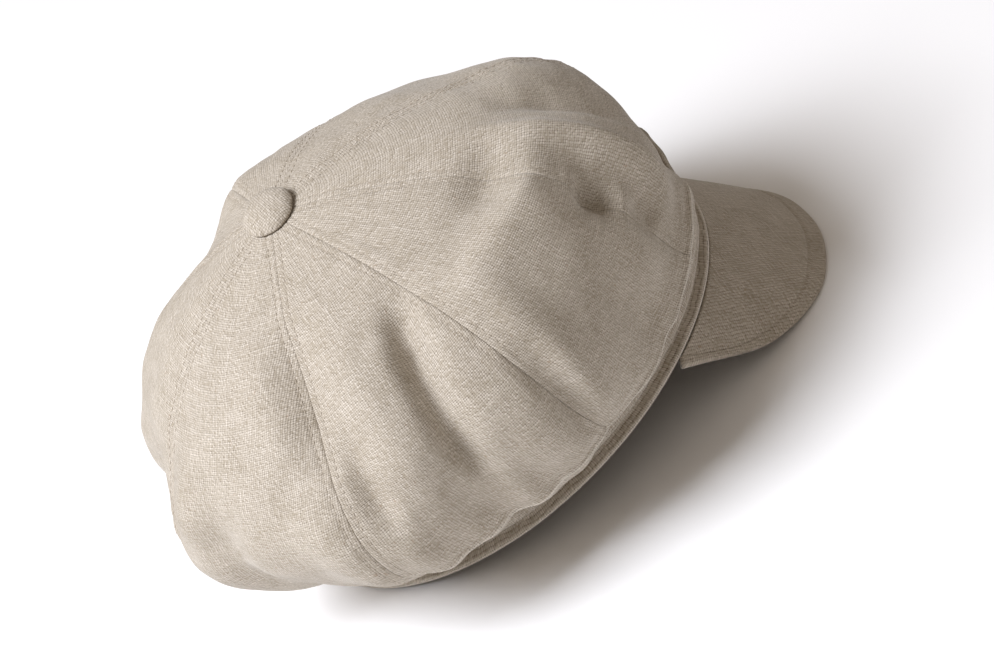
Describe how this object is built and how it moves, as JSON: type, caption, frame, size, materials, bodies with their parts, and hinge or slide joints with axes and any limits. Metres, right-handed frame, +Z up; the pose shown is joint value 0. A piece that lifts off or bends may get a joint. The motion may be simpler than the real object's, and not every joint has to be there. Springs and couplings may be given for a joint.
{
  "type": "newsboy cap",
  "caption": "Full-crowned linen newsboy cap of sewn gores, with a covered button, an upright band and a short stiff peak.",
  "frame": {"origin": "on the resting surface, below the middle of the cap's bounding box", "axes": "+Z up from the resting surface, -Y towards the peak, -X towards the wearer's right side"},
  "size_m": [0.2142, 0.277, 0.1494],
  "materials": {
    "woven_linen": "matt plain-woven natural linen with slubs and darker flecks"
  },
  "bodies": {
    "root": {"crown_panel_front_right": "woven_linen", "crown_panel_right_front": "woven_linen", "crown_panel_right_back": "woven_linen", "crown_panel_back_right": "woven_linen", "crown_panel_back_left": "woven_linen", "crown_panel_left_back": "woven_linen", "crown_panel_left_front": "woven_linen", "crown_panel_front_left": "woven_linen", "crown_button": "woven_linen", "band": "woven_linen", "peak": "woven_linen"}
  },
  "joints": []
}
